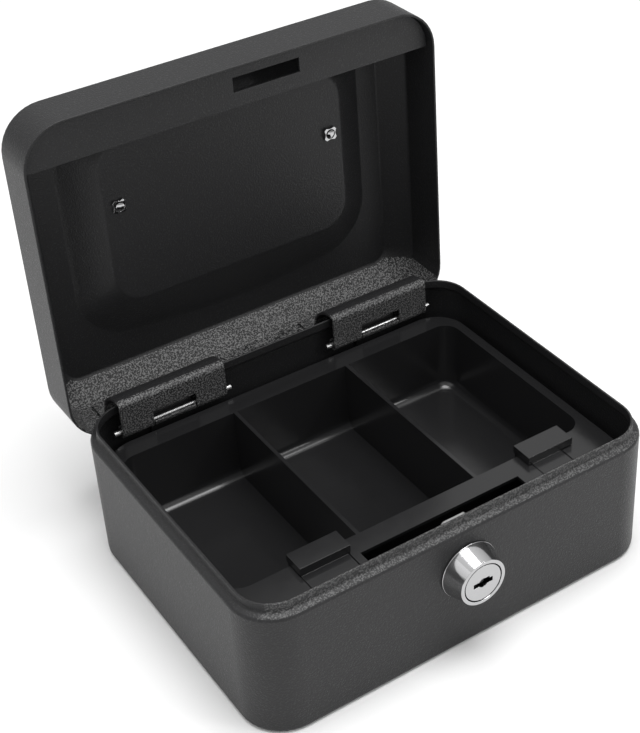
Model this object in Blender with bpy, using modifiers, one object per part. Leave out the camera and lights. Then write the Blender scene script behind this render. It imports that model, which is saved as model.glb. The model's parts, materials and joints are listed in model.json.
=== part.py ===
"""A small steel cash box with a lift-out tray, a cam lock and a folding lid handle.

Metres, +Z up. The origin is the middle of the underside. The front, with the lock,
faces -Y and the hinges are along +Y. The box is at rest with its lid open.
Pieces of the lid are drawn where they are with the lid shut, and the lid's pivot
empty turns them all open.
"""

import math

import bmesh
import bpy
from mathutils import Matrix, Vector

# Body: a drawn sheet-steel pan with a narrow neck that the lid's skirt fits over.
BOX_WIDTH = 0.152
BOX_DEPTH = 0.118
CORNER_RADIUS = 0.015
SHEET = 0.0008
RIM_HEIGHT = 0.0517
NECK_HEIGHT = 0.0031
NECK_INSET = 0.0024
SHOULDER_RISE = 0.0011
FLOOR_BEND = 0.002

# Lid: a skirt, a sloping band and a flat top with a pressed recess for the handle.
LID_OPEN = math.radians(91)
LID_OVERLAP = 0.0025
LID_HEIGHT = 0.025
SKIRT_DEPTH = 0.0178
BAND_INSET = 0.009
RECESS_DEPTH = 0.008
RECESS_FLOOR_WIDTH = 0.095
RECESS_FLOOR_DEPTH = 0.0595
RECESS_FLOOR_RADIUS = 0.010
RECESS_MIDDLE = -0.00825
RECESS_SIDE_SLOPE = 0.0095
RECESS_FRONT_SLOPE = 0.010
RECESS_REAR_SLOPE = 0.0145
RECESS_SCOOP = 0.006
RECESS_MOUTH_RADIUS = 0.017

# Strip across the inside of the lid's front, which the lock's hook catches.
STRIP_DEPTH = 0.016
STRIP_RISE = 0.0034
STRIP_LEG = 0.006
STRIP_SLOT_WIDTH = 0.025
STRIP_SLOT_DEPTH = 0.005

# Hinges: each has a leaf that arches over the body's rim, a pin and a hooked bracket.
HINGE_SPREAD = 0.0422
PIN_INSET = 0.0048
PIN_DROP = 0.0097
PIN_RADIUS = 0.001
PIN_LENGTH = 0.0448
LEAF_WIDTH = 0.040
LEAF_SHEET = 0.0009
LEAF_BEND = 0.0014
LEAF_FOOT = 0.012
ARCH_CLEARANCE = 0.0015
WINDOW_WIDTH = 0.0165
WINDOW_REACH = 0.0048
BRACKET_LENGTH = 0.020

# Handle: a wire bail on two posts, held below the recess floor by star washers.
POST_SPREAD = 0.041
POST_Y = -0.0154
POST_RADIUS = 0.00375
POST_HEIGHT = 0.0072
SHANK_RADIUS = 0.0015
WIRE_RADIUS = 0.002
BAIL_LIFT = 0.0036
BAIL_ARM = 0.029
BAIL_BEND = 0.005
STAR_SIZE = 0.0058
STAR_THICKNESS = 0.0009

# Lock: a tapered chrome housing through the front, with a key plug and a hooked cam.
LOCK_X = -0.001
LOCK_Z = 0.0316
HOUSING_FACE_RADIUS = 0.0084
HOUSING_BASE_RADIUS = 0.01026
HOUSING_LENGTH = 0.0077
BARREL_RADIUS = 0.0084
BARREL_LENGTH = 0.0066
PLUG_RADIUS = 0.0067
TAIL_RADIUS = 0.003
TAIL_LENGTH = 0.002
KEYWAY_WIDTH = 0.0074
KEYWAY_HEIGHT = 0.0018
KEYWAY_DEPTH = 0.007
WASHER_RIM = 0.0025
WASHER_THICKNESS = 0.0008
NUT_RIM = 0.0032
NUT_THICKNESS = 0.0026
CAM_THICKNESS = 0.0016
CAM_HUB = 0.0065
CAM_LUG_WIDTH = 0.0091
CAM_LUG_REACH = 0.0146
CAM_ARM_WIDTH = 0.0066
HOOK_DEPTH = 0.0034
HOOK_RISE = 0.005
SCREW_HEAD_RADIUS = 0.0045
SCREW_HEAD_HEIGHT = 0.0016
SCREW_RADIUS = 0.0013

# Tray: three pockets under one flange, on short legs, with two clip-on finger grips.
TRAY_X = -0.0012
TRAY_TOP = 0.0392
TRAY_WALL = 0.0012
TRAY_SIDE_GAP = 0.0016
TRAY_FRONT_GAP = 0.0012
TRAY_HINGE_GAP = 0.0006
TRAY_CORNER = 0.012
POCKET_REAR_SHELF = 0.0075
POCKET_FRONT_SHELF = 0.0221
POCKET_SIDE_SHELF = 0.0034
DIVIDER = 0.0014
POCKET_FLOOR = 0.0124
POCKET_CORNER = 0.003
POCKET_FILLET = 0.0035
LEG_SIZE = 0.006
LEG_INSET = 0.009
LOCK_CUT_WIDTH = 0.061
LOCK_CUT_OFFSET = 0.00325
LOCK_CUT_REAR = 0.0187
GRIP_WIDTH = 0.0182
GRIP_DEPTH = 0.0082
GRIP_HEIGHT = 0.0031
GRIP_HOOK = 0.0036
GRIP_OVERHANG = 0.0023
GRIPS = {
    "tray_grip_left": {"side": -1, "off_divider": 0.0057, "tongue_shift": -0.0003, "tongue_width": 0.017},
    "tray_grip_right": {"side": 1, "off_divider": 0.0165, "tongue_shift": -0.0016, "tongue_width": 0.012},
}

# Clearance between pieces that touch, and the fineness of round shapes.
GAP = 0.0003
CORNER_STEPS = 6
ROUND_STEPS = 32

# Places that follow from the sizes above.
HALF_WIDTH = BOX_WIDTH / 2
HALF_DEPTH = BOX_DEPTH / 2
SHOULDER_TOP = RIM_HEIGHT - NECK_HEIGHT
LID_RIM = RIM_HEIGHT - LID_OVERLAP
LID_TOP = LID_RIM + LID_HEIGHT
SKIRT_TOP = LID_RIM + SKIRT_DEPTH
RECESS_FLOOR = LID_TOP - RECESS_DEPTH
PIN_Y = HALF_DEPTH - PIN_INSET
PIN_Z = RIM_HEIGHT - PIN_DROP
EYE_RADIUS = PIN_RADIUS + GAP + LEAF_SHEET / 2
RIM_REACH = math.hypot(PIN_INSET - NECK_INSET, PIN_DROP)
ARCH_RADIUS = RIM_REACH + ARCH_CLEARANCE + LEAF_SHEET / 2
WALL_LEAF_OFFSET = PIN_INSET - SHEET - GAP - LEAF_SHEET / 2
HAIRPIN_RADIUS = (WALL_LEAF_OFFSET - EYE_RADIUS) / 2
STRIP_Z = LID_RIM + STRIP_RISE
WASHER_RADIUS = BARREL_RADIUS + GAP + WASHER_RIM
NUT_RADIUS = BARREL_RADIUS + GAP + NUT_RIM
CAM_Y = -HALF_DEPTH + BARREL_LENGTH + 2 * GAP
STRIP_SLOT_Y = CAM_Y + CAM_THICKNESS / 2
AXIS_TO_X = Matrix.Rotation(math.radians(90), 4, "Y")
AXIS_TO_FRONT = Matrix.Rotation(math.radians(90), 4, "X")


def clear_scene():
    for existing in list(bpy.data.objects):
        bpy.data.objects.remove(existing)


def new_collection(name):
    made = bpy.data.collections.new(name)
    bpy.context.scene.collection.children.link(made)
    return made


def new_material(name, colour, roughness, metallic):
    made = bpy.data.materials.new(name)
    made.use_nodes = True
    shader = made.node_tree.nodes["Principled BSDF"]
    shader.inputs["Base Color"].default_value = (*colour, 1)
    shader.inputs["Roughness"].default_value = roughness
    shader.inputs["Metallic"].default_value = metallic
    return made


clear_scene()
parts = new_collection("cash_box")
cutters = new_collection("cutters")
MATERIALS = {
    "coated": new_material("powder coat", (0.055, 0.055, 0.058), 0.55, 0.2),
    "leaf": new_material("hinge powder coat", (0.04, 0.04, 0.042), 0.5, 0.2),
    "steel": new_material("bright steel", (0.6, 0.6, 0.6), 0.3, 1.0),
    "chrome": new_material("chrome", (0.78, 0.78, 0.78), 0.12, 1.0),
    "plastic": new_material("gloss plastic", (0.02, 0.02, 0.021), 0.25, 0.0),
}


def add_object(name, mesh, look, matrix=None):
    """Put a mesh in the scene as a part, with its own copy of a material."""
    made = bpy.data.objects.new(name, mesh)
    parts.objects.link(made)
    own = MATERIALS[look].copy()
    own.name = name
    mesh.materials.clear()
    mesh.materials.append(own)
    if matrix is not None:
        made.matrix_world = matrix
    return made


def mesh_from(name, shape):
    mesh = bpy.data.meshes.new(name)
    shape.to_mesh(mesh)
    shape.free()
    return mesh


def add_helper(name, shape, matrix=None):
    """Put a shape in the scene as a cutter or as a lump to join on."""
    made = bpy.data.objects.new(name, mesh_from(name, shape))
    cutters.objects.link(made)
    made.hide_render = True
    made.display_type = "WIRE"
    if matrix is not None:
        made.matrix_world = matrix
    return made


def combine(target, helper, operation):
    modifier = target.modifiers.new(helper.name, "BOOLEAN")
    modifier.operation = operation
    modifier.object = helper
    modifier.solver = "EXACT"


def cut(target, name, shape, matrix=None):
    combine(target, add_helper(name, shape, matrix), "DIFFERENCE")


def join(target, name, shape, matrix=None):
    combine(target, add_helper(name, shape, matrix), "UNION")


def smooth(target, angle=35):
    target.data.shade_smooth()
    target.data.set_sharp_from_angle(angle=math.radians(angle))


def box(low, high):
    """A box between two corners."""
    low, high = Vector(low), Vector(high)
    shape = bmesh.new()
    size = Matrix.Diagonal((*(high - low), 1))
    bmesh.ops.create_cube(shape, size=1, matrix=Matrix.Translation((low + high) / 2) @ size)
    return shape


def rounded_box(low, high, corner, fillet=0.0, steps=3):
    """A box with rounded upright edges and, with a fillet, a rounded bottom."""
    shape = box(low, high)
    upright = [edge for edge in shape.edges if abs(edge.verts[0].co.z - edge.verts[1].co.z) > 1e-6]
    bmesh.ops.bevel(shape, geom=upright, offset=corner, segments=steps, profile=0.5, affect="EDGES")
    if fillet:
        bottom = [edge for edge in shape.edges if all(abs(v.co.z - low[2]) < 1e-7 for v in edge.verts)]
        bmesh.ops.bevel(shape, geom=bottom, offset=fillet, segments=2, profile=0.5, affect="EDGES")
    return shape


def rod(radius, start, end, matrix, steps=ROUND_STEPS):
    """A cylinder along the matrix's Z axis, from start to end."""
    shape = bmesh.new()
    place = matrix @ Matrix.Translation((0, 0, (start + end) / 2))
    bmesh.ops.create_cone(
        shape, cap_ends=True, segments=steps, radius1=radius, radius2=radius, depth=end - start, matrix=place
    )
    return shape


def turned(name, profile, closed, look, matrix):
    """Turn a profile of (radius, height) points about the matrix's Z axis."""
    mesh = bpy.data.meshes.new(name)
    edges = [(i, i + 1) for i in range(len(profile) - 1)]
    if closed:
        edges.append((len(profile) - 1, 0))
    mesh.from_pydata([(radius, 0, height) for radius, height in profile], edges, [])
    made = add_object(name, mesh, look, matrix)
    screw = made.modifiers.new("turn", "SCREW")
    screw.steps = screw.render_steps = ROUND_STEPS
    screw.use_merge_vertices = True
    screw.merge_threshold = 1e-5
    return made


def flat_plate(name, outline, thickness, look, matrix):
    """A plate with a straight-sided outline, from z 0 up to its thickness."""
    curve = bpy.data.curves.new(name, "CURVE")
    curve.dimensions = "2D"
    curve.fill_mode = "BOTH"
    curve.extrude = thickness / 2
    spline = curve.splines.new("POLY")
    spline.points.add(len(outline) - 1)
    for point, (x, y) in zip(spline.points, outline):
        point.co = (x, y, 0, 1)
    spline.use_cyclic_u = True
    guide = bpy.data.objects.new(name + "_outline", curve)
    cutters.objects.link(guide)
    shape = bmesh.new()
    shape.from_mesh(guide.to_mesh())
    guide.to_mesh_clear()
    bpy.data.objects.remove(guide)
    bmesh.ops.remove_doubles(shape, verts=shape.verts, dist=1e-6)
    bmesh.ops.translate(shape, verts=shape.verts, vec=(0, 0, thickness / 2))
    bmesh.ops.recalc_face_normals(shape, faces=shape.faces)
    return add_object(name, mesh_from(name, shape), look, matrix)


def arc(centre, radius, start, end, steps):
    """Points on an arc from one angle to another, in degrees."""
    points = []
    for i in range(steps + 1):
        angle = math.radians(start + (end - start) * i / steps)
        points.append((centre[0] + radius * math.cos(angle), centre[1] + radius * math.sin(angle)))
    return points


def rounded_path(corners, radius, steps=4):
    """Straight runs through the corners, with each inner corner rounded."""
    points = [Vector(corners[0])]
    for before, corner, after in zip(corners, corners[1:], corners[2:]):
        corner = Vector(corner)
        back = (Vector(before) - corner).normalized()
        ahead = (Vector(after) - corner).normalized()
        half_turn = back.angle(ahead) / 2
        middle = corner + (back + ahead).normalized() * (radius / math.sin(half_turn))
        start = corner + back * (radius / math.tan(half_turn)) - middle
        end = corner + ahead * (radius / math.tan(half_turn)) - middle
        points += [middle + start.slerp(end, i / steps) * radius for i in range(steps + 1)]
    points.append(Vector(corners[-1]))
    return points


def outline(half_x, half_y, radius, middle_y=0.0, scoop=0.0):
    """A rounded rectangle, its rear side bowed out by the scoop."""
    points = []
    for side_x, side_y, start in ((1, -1, -90), (1, 1, 0), (-1, 1, 90), (-1, -1, 180)):
        centre = (side_x * (half_x - radius), middle_y + side_y * (half_y - radius))
        points += arc(centre, radius, start, start + 90, CORNER_STEPS)
        if (side_x, side_y) == (1, 1):
            for i in range(1, CORNER_STEPS):
                x = (half_x - radius) * (1 - 2 * i / CORNER_STEPS)
                points.append((x, middle_y + half_y))
    straight = half_x - radius
    rear = middle_y + half_y - radius
    bowed = []
    for x, y in points:
        share = max(0.0, (y - rear) / radius) if radius else 0.0
        bow = math.cos(math.pi / 2 * min(1.0, abs(x) / (straight + radius)))
        bowed.append((x, y + scoop * share * bow))
    return bowed


def pan(name, rings, look, floor_faces_down):
    """Sheet metal lofted over a stack of (outline, height) rings, the first one closed."""
    shape = bmesh.new()
    loops = [[shape.verts.new((x, y, height)) for x, y in points] for points, height in rings]
    shape.faces.new(reversed(loops[0]))
    for lower, upper in zip(loops, loops[1:]):
        for i in range(len(lower)):
            shape.faces.new((lower[i - 1], lower[i], upper[i], upper[i - 1]))
    if not floor_faces_down:
        bmesh.ops.reverse_faces(shape, faces=shape.faces)
    made = add_object(name, mesh_from(name, shape), look)
    add_thickness(made, SHEET, -1)
    return made


def add_thickness(target, thickness, offset):
    solidify = target.modifiers.new("sheet", "SOLIDIFY")
    solidify.thickness = thickness
    solidify.offset = offset
    solidify.use_even_offset = True


def bent_strip(name, path, width, look, matrix):
    """Sheet metal bent along a path of (y, z) points and as wide as given along X."""
    shape = bmesh.new()
    verts = [shape.verts.new((-width / 2, y, z)) for y, z in path]
    edges = [shape.edges.new(pair) for pair in zip(verts, verts[1:])]
    swept = bmesh.ops.extrude_edge_only(shape, edges=edges)["geom"]
    moved = [item for item in swept if isinstance(item, bmesh.types.BMVert)]
    bmesh.ops.translate(shape, verts=moved, vec=(width, 0, 0))
    made = add_object(name, mesh_from(name, shape), look, matrix)
    add_thickness(made, LEAF_SHEET, 0)
    return made


def add_body():
    def ring(inset, height):
        return outline(HALF_WIDTH - inset, HALF_DEPTH - inset, CORNER_RADIUS - inset), height

    rings = []
    for inset, rise in arc((FLOOR_BEND, FLOOR_BEND), FLOOR_BEND, -90, -180, 3):
        rings.append(ring(inset, rise))
    rings += [
        ring(0, SHOULDER_TOP - SHOULDER_RISE),
        ring(NECK_INSET, SHOULDER_TOP),
        ring(NECK_INSET, RIM_HEIGHT),
    ]
    body = pan("body_shell", rings, "coated", True)
    smooth(body)
    hole = AXIS_TO_FRONT.copy()
    hole.translation = (LOCK_X, -HALF_DEPTH, LOCK_Z)
    cut(body, "lock_hole", rod(BARREL_RADIUS + GAP, -2 * NECK_INSET, 2 * NECK_INSET, hole))


def add_lid(pivot):
    floor_half_x = RECESS_FLOOR_WIDTH / 2
    floor_half_y = RECESS_FLOOR_DEPTH / 2
    mouth_half_x = floor_half_x + RECESS_SIDE_SLOPE
    mouth_half_y = floor_half_y + (RECESS_FRONT_SLOPE + RECESS_REAR_SLOPE) / 2
    mouth_middle = RECESS_MIDDLE + (RECESS_REAR_SLOPE - RECESS_FRONT_SLOPE) / 2
    rings = []
    for share in (0, 0.12, 0.5, 0.88, 1):
        points = outline(
            floor_half_x + (mouth_half_x - floor_half_x) * share,
            floor_half_y + (mouth_half_y - floor_half_y) * share,
            RECESS_FLOOR_RADIUS + (RECESS_MOUTH_RADIUS - RECESS_FLOOR_RADIUS) * share,
            RECESS_MIDDLE + (mouth_middle - RECESS_MIDDLE) * share,
            RECESS_SCOOP * share,
        )
        rise = (1 - math.cos(math.pi * share)) / 2
        rings.append((points, RECESS_FLOOR + RECESS_DEPTH * rise))
    top_radius = CORNER_RADIUS - BAND_INSET
    rings += [
        (outline(HALF_WIDTH - BAND_INSET, HALF_DEPTH - BAND_INSET, top_radius), LID_TOP),
        (outline(HALF_WIDTH, HALF_DEPTH, CORNER_RADIUS), SKIRT_TOP),
        (outline(HALF_WIDTH, HALF_DEPTH, CORNER_RADIUS), LID_RIM),
    ]
    lid = pan("lid_shell", rings, "coated", False)
    smooth(lid)
    for side, x in (("left", -POST_SPREAD), ("right", POST_SPREAD)):
        place = Matrix.Translation((x, POST_Y, RECESS_FLOOR))
        cut(lid, "post_hole_" + side, rod(SHANK_RADIUS + GAP, -3 * SHEET, 3 * SHEET, place, 16))
    hang(lid, pivot)


def add_latch_strip(pivot):
    inner = SHEET + GAP
    half_x = HALF_WIDTH - inner
    front = -HALF_DEPTH + inner
    corner = CORNER_RADIUS - inner
    rear = -HALF_DEPTH + STRIP_DEPTH
    points = [(-half_x, rear)]
    points += arc((-half_x + corner, front + corner), corner, 180, 270, CORNER_STEPS)
    points += arc((half_x - corner, front + corner), corner, 270, 360, CORNER_STEPS)
    points.append((half_x, rear))
    shape = bmesh.new()
    verts = [shape.verts.new((x, y, STRIP_Z)) for x, y in points]
    face = shape.faces.new(verts)
    rim = [edge for edge in shape.edges if min(v.co.y for v in edge.verts) < rear - 1e-6]
    swept = bmesh.ops.extrude_edge_only(shape, edges=rim)["geom"]
    moved = [item for item in swept if isinstance(item, bmesh.types.BMVert)]
    bmesh.ops.translate(shape, verts=moved, vec=(0, 0, STRIP_LEG))
    bmesh.ops.recalc_face_normals(shape, faces=shape.faces)
    face.normal_update()
    if face.normal.z > 0:
        bmesh.ops.reverse_faces(shape, faces=shape.faces)
    strip = add_object("lid_latch_strip", mesh_from("lid_latch_strip", shape), "coated")
    add_thickness(strip, SHEET, -1)
    low = (LOCK_X, STRIP_SLOT_Y - STRIP_SLOT_DEPTH / 2, LID_RIM)
    high = (LOCK_X + STRIP_SLOT_WIDTH, STRIP_SLOT_Y + STRIP_SLOT_DEPTH / 2, LID_TOP)
    cut(strip, "latch_slot", box(low, high))
    smooth(strip)
    hang(strip, pivot)


def hang(piece, pivot):
    """Parent a piece, drawn with the lid shut, and its cutters to a pivot that turns them."""
    helpers = [modifier.object for modifier in piece.modifiers if modifier.type == "BOOLEAN"]
    for item in [piece] + helpers:
        item.parent = pivot
        item.matrix_parent_inverse = Matrix.Translation(-pivot.location)


def leaf_path():
    """The hinge leaf's section with the lid shut, from its eye to its foot."""
    eye = arc((0, 0), EYE_RADIUS, 150, -90, 12)
    arm = rounded_path([eye[-1], (-ARCH_RADIUS, -EYE_RADIUS), (-ARCH_RADIUS, 0)], LEAF_BEND)
    arch = arc((0, 0), ARCH_RADIUS, 180, 88, 12)
    foot_z = ARCH_RADIUS
    foot_corners = [arch[-1], (WALL_LEAF_OFFSET, foot_z), (WALL_LEAF_OFFSET, foot_z + LEAF_FOOT)]
    foot = rounded_path(foot_corners, LEAF_BEND)
    return eye + [tuple(point) for point in arm[1:-1]] + arch + [tuple(point) for point in foot[1:]]


def bracket_path():
    """The body bracket's section, up the rear wall, over, then under the pin."""
    top = HAIRPIN_RADIUS + LEAF_SHEET / 2
    hairpin = arc((EYE_RADIUS + HAIRPIN_RADIUS, top), HAIRPIN_RADIUS, 0, 180, 6)
    return [(WALL_LEAF_OFFSET, -BRACKET_LENGTH)] + hairpin + arc((0, 0), EYE_RADIUS, 0, -190, 10)


def add_hinges(pivot):
    for side, x in (("left", -HINGE_SPREAD), ("right", HINGE_SPREAD)):
        place = Matrix.Translation((x, PIN_Y, PIN_Z))
        leaf = bent_strip("hinge_leaf_" + side, leaf_path(), LEAF_WIDTH, "leaf", place)
        reach = EYE_RADIUS + LEAF_SHEET
        low = (-WINDOW_WIDTH / 2, -WINDOW_REACH, -reach)
        window = box(low, (WINDOW_WIDTH / 2, reach, reach))
        cut(leaf, "window_" + side, window, place)
        smooth(leaf)
        hang(leaf, pivot)
        width = WINDOW_WIDTH - 3 * GAP
        bracket = bent_strip("hinge_bracket_" + side, bracket_path(), width, "leaf", place)
        smooth(bracket)
        half = PIN_LENGTH / 2
        pin = rod(PIN_RADIUS, -half, half, AXIS_TO_X, 16)
        made = add_object("hinge_pin_" + side, mesh_from("hinge_pin", pin), "steel", place)
        smooth(made)


def add_handle(pivot):
    bail_z = RECESS_FLOOR + BAIL_LIFT
    for side, x in (("left", -POST_SPREAD), ("right", POST_SPREAD)):
        place = Matrix.Translation((x, POST_Y, RECESS_FLOOR))
        chamfer = POST_RADIUS / 5
        star_bottom = SHEET + GAP + STAR_THICKNESS
        profile = [
            (0, POST_HEIGHT),
            (POST_RADIUS - chamfer, POST_HEIGHT),
            (POST_RADIUS, POST_HEIGHT - chamfer),
            (POST_RADIUS, GAP),
            (SHANK_RADIUS, GAP),
            (SHANK_RADIUS, -star_bottom - GAP),
            (0, -star_bottom - 2 * GAP),
        ]
        post = turned("handle_post_" + side, profile, False, "chrome", place)
        hole = place @ Matrix.Translation((0, 0, BAIL_LIFT)) @ AXIS_TO_X
        cut(post, "post_eye_" + side, rod(WIRE_RADIUS + GAP, -0.01, 0.01, hole, 20))
        smooth(post)
        hang(post, pivot)
        add_star(side, place @ Matrix.Translation((0, 0, -star_bottom)), pivot)
    end = POST_SPREAD + POST_RADIUS + GAP
    arm = POST_SPREAD - POST_RADIUS - GAP - WIRE_RADIUS
    corners = [(-end, 0, 0), (-arm, 0, 0), (-arm, BAIL_ARM, 0), (arm, BAIL_ARM, 0), (arm, 0, 0), (end, 0, 0)]
    path = rounded_path(corners[:3], WIRE_RADIUS * 1.2)[:-1]
    path += rounded_path(corners[1:5], BAIL_BEND)[1:-1]
    path += rounded_path(corners[3:], WIRE_RADIUS * 1.2)[1:]
    curve = bpy.data.curves.new("handle_bail", "CURVE")
    curve.dimensions = "3D"
    curve.bevel_depth = WIRE_RADIUS
    curve.bevel_resolution = 3
    curve.use_fill_caps = True
    spline = curve.splines.new("POLY")
    spline.points.add(len(path) - 1)
    for point, place in zip(spline.points, path):
        point.co = (*place, 1)
    bail = add_object("handle_bail", curve, "chrome")
    bail.location = (0, POST_Y, bail_z)
    hang(bail, pivot)


def add_star(side, place, pivot):
    """A washer with four spread teeth, pushed on to the post's shank."""
    points = []
    for i in range(16):
        reach = STAR_SIZE / 2 if i % 4 < 2 else STAR_SIZE / 2 * 0.72
        angle = math.radians(22.5 * i + 33.75)
        points.append((reach * math.cos(angle), reach * math.sin(angle)))
    star = flat_plate("handle_star_" + side, points, STAR_THICKNESS, "chrome", place)
    cut(star, "star_bore_" + side, rod(SHANK_RADIUS + GAP, -STAR_THICKNESS, 2 * STAR_THICKNESS, place, 16))
    hang(star, pivot)


def add_lock():
    front = AXIS_TO_FRONT.copy()
    front.translation = (LOCK_X, -HALF_DEPTH, LOCK_Z)
    chamfer = 4e-4
    bore = PLUG_RADIUS + GAP
    housing = [
        (HOUSING_FACE_RADIUS - chamfer, HOUSING_LENGTH),
        (HOUSING_FACE_RADIUS, HOUSING_LENGTH - chamfer),
        (HOUSING_BASE_RADIUS, GAP),
        (BARREL_RADIUS, GAP),
        (BARREL_RADIUS, -BARREL_LENGTH),
        (bore, -BARREL_LENGTH),
        (bore, HOUSING_LENGTH),
    ]
    smooth(turned("lock_housing", housing, True, "chrome", front))
    washer_front = -SHEET - GAP
    washer_back = washer_front - WASHER_THICKNESS
    hole = BARREL_RADIUS + GAP
    washer = [
        (WASHER_RADIUS, washer_front),
        (WASHER_RADIUS, washer_back),
        (hole, washer_back),
        (hole, washer_front),
    ]
    smooth(turned("lock_washer", washer, True, "steel", front))
    nut_front = washer_back - GAP
    nut = rod(NUT_RADIUS, nut_front - NUT_THICKNESS, nut_front, Matrix(), 6)
    nut_object = add_object("lock_nut", mesh_from("lock_nut", nut), "steel", front)
    cut(nut_object, "nut_bore", rod(hole, nut_front - 2 * NUT_THICKNESS, 0, Matrix()), front)
    add_plug(front)


def add_plug(front):
    plug_back = -BARREL_LENGTH - GAP
    tail_back = plug_back - TAIL_LENGTH
    screw_bore = SCREW_RADIUS + GAP
    screw_depth = 2 * TAIL_LENGTH
    plug = [
        (0, HOUSING_LENGTH - GAP / 3),
        (PLUG_RADIUS, HOUSING_LENGTH - GAP / 3),
        (PLUG_RADIUS, plug_back),
        (TAIL_RADIUS, plug_back),
        (TAIL_RADIUS, tail_back),
        (screw_bore, tail_back),
        (screw_bore, tail_back + screw_depth),
        (0, tail_back + screw_depth),
    ]
    made = turned("lock_plug", plug, False, "chrome", front)
    low = (-KEYWAY_WIDTH / 2, -KEYWAY_HEIGHT / 2, HOUSING_LENGTH - KEYWAY_DEPTH)
    high = (KEYWAY_WIDTH / 2, KEYWAY_HEIGHT / 2, HOUSING_LENGTH + GAP)
    cut(made, "keyway", box(low, high), front)
    smooth(made)
    depth = HOUSING_LENGTH - 2 * KEYWAY_HEIGHT
    low = (-KEYWAY_HEIGHT / 2, GAP - KEYWAY_HEIGHT / 2, depth - KEYWAY_HEIGHT)
    wafer = box(low, (KEYWAY_HEIGHT / 2, KEYWAY_HEIGHT / 2 - GAP, depth))
    add_object("lock_wafer", mesh_from("lock_wafer", wafer), "steel", front)
    cam_front = plug_back - GAP
    cam_back = cam_front - CAM_THICKNESS
    place = front @ Matrix.Translation((0, 0, cam_back))
    cam = flat_plate("lock_cam", cam_outline(), CAM_THICKNESS, "steel", place)
    bore = rod(TAIL_RADIUS + GAP, -CAM_THICKNESS, 2 * CAM_THICKNESS, Matrix())
    cut(cam, "cam_bore", bore, place)
    head_front = cam_back - GAP
    head_back = head_front - SCREW_HEAD_HEIGHT
    screw = [
        (0, tail_back + screw_depth - GAP),
        (SCREW_RADIUS, tail_back + screw_depth - GAP),
        (SCREW_RADIUS, head_front),
        (SCREW_HEAD_RADIUS, head_front),
        (SCREW_HEAD_RADIUS, head_back + GAP),
        (SCREW_HEAD_RADIUS - GAP, head_back),
        (0, head_back),
    ]
    screw_object = turned("lock_screw", screw, False, "steel", front)
    half_slot = SCREW_RADIUS / 3
    for name, x, y in (("a", SCREW_HEAD_RADIUS * 0.6, half_slot), ("b", half_slot, SCREW_HEAD_RADIUS * 0.6)):
        slot = box((-x, -y, head_back - GAP), (x, y, head_back + SCREW_HEAD_HEIGHT / 2))
        cut(screw_object, "screw_slot_" + name, slot, front)
    smooth(screw_object)


def cam_outline():
    """The cam unlocked, seen from the front: a lug up and a hooked arm to the right."""
    strip_drop = STRIP_Z + SHEET - LOCK_Z
    hook_in = strip_drop + GAP
    hook_out = hook_in + HOOK_DEPTH
    arm_top = -TAIL_RADIUS * 0.3
    arm_bottom = arm_top - CAM_ARM_WIDTH
    lug_left = -CAM_LUG_WIDTH * 0.42
    lug_right = lug_left + CAM_LUG_WIDTH
    nose = HOOK_DEPTH * 0.4
    hub_low = math.degrees(math.asin(max(-1.0, arm_bottom / CAM_HUB))) if -arm_bottom < CAM_HUB else -90
    points = [
        (lug_left, CAM_LUG_REACH - nose / 2),
        (lug_left + nose / 2, CAM_LUG_REACH),
        (lug_right - nose / 2, CAM_LUG_REACH),
        (lug_right, CAM_LUG_REACH - nose / 2),
        (lug_right, CAM_HUB),
        (CAM_HUB * 1.2, arm_top),
        (hook_in, arm_top),
        (hook_in, HOOK_RISE),
        (hook_out - nose, HOOK_RISE),
        (hook_out, HOOK_RISE - nose),
        (hook_out, arm_bottom + 2 * nose),
        (hook_out - 2 * nose, arm_bottom),
        (0, arm_bottom),
    ]
    hub_start = 180 - hub_low
    hub_end = 180 - math.degrees(math.acos(min(1.0, -lug_left / CAM_HUB)))
    return points + arc((0, 0), CAM_HUB, hub_start, hub_end, 8)[1:]


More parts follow.
